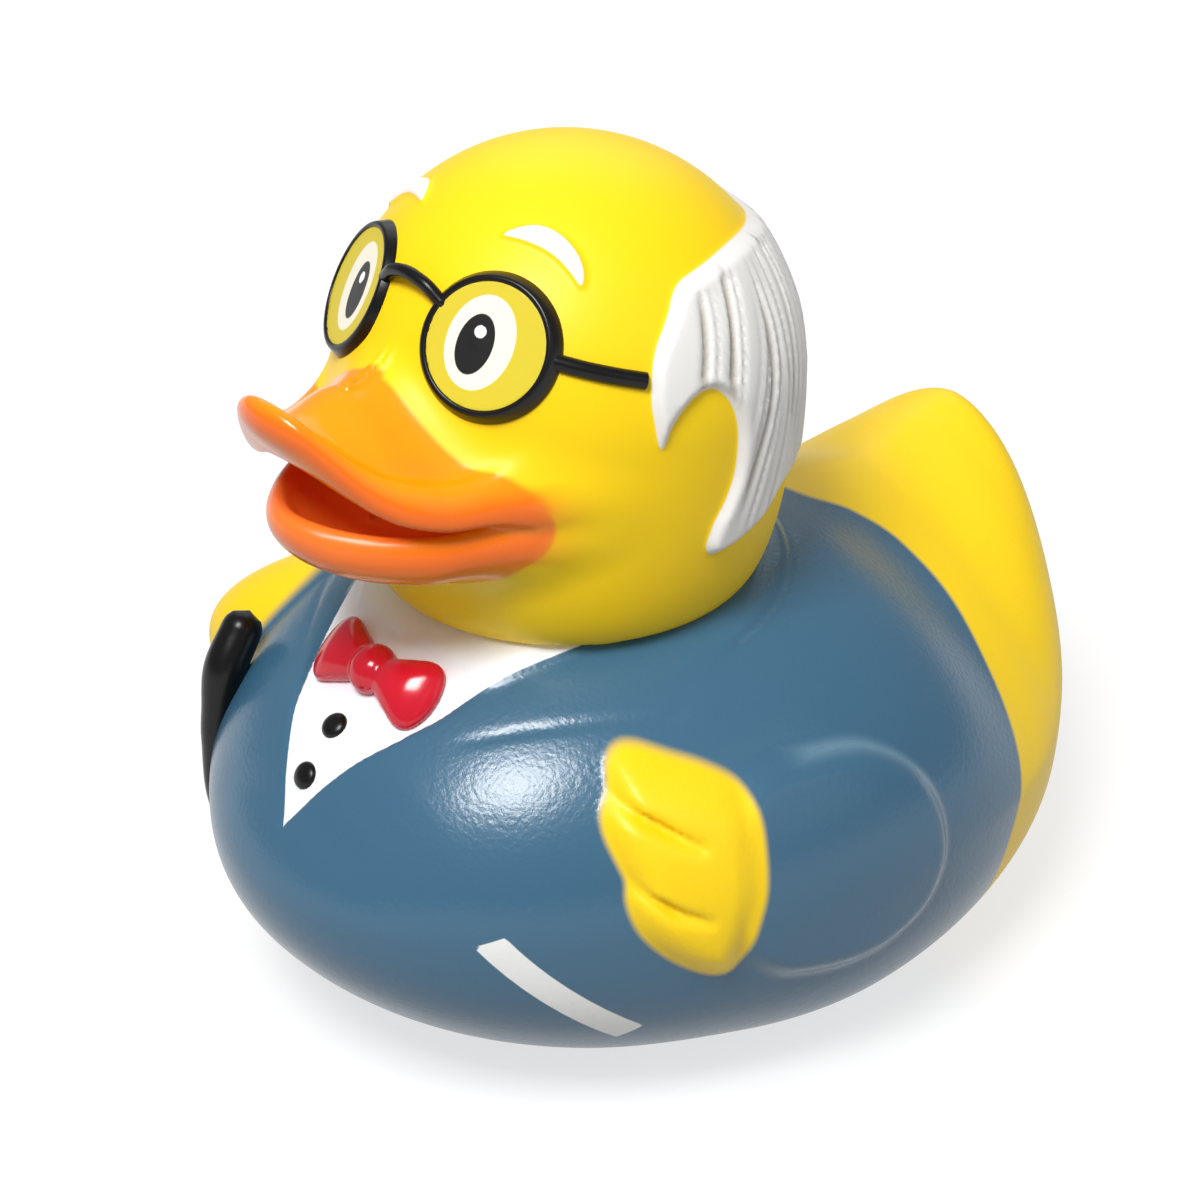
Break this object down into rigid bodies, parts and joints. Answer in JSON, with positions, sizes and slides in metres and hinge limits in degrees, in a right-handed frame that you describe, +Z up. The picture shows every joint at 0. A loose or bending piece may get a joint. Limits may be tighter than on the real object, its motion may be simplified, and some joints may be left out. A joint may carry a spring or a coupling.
{
  "type": "rubber duck",
  "caption": "Hollow vinyl bath duck dressed as an old gentleman, with an open bill, round spectacles, white hair, jacket, bow tie and walking stick.",
  "frame": {"origin": "middle of the flat base the duck stands on, below the middle of the body", "axes": "-Y is the way the duck looks, +X is its left side, +Z is up"},
  "size_m": [0.074, 0.0928, 0.083],
  "materials": {
    "vinyl": "painted soft vinyl, satin"
  },
  "bodies": {
    "root": {"duck": "vinyl"}
  },
  "joints": []
}
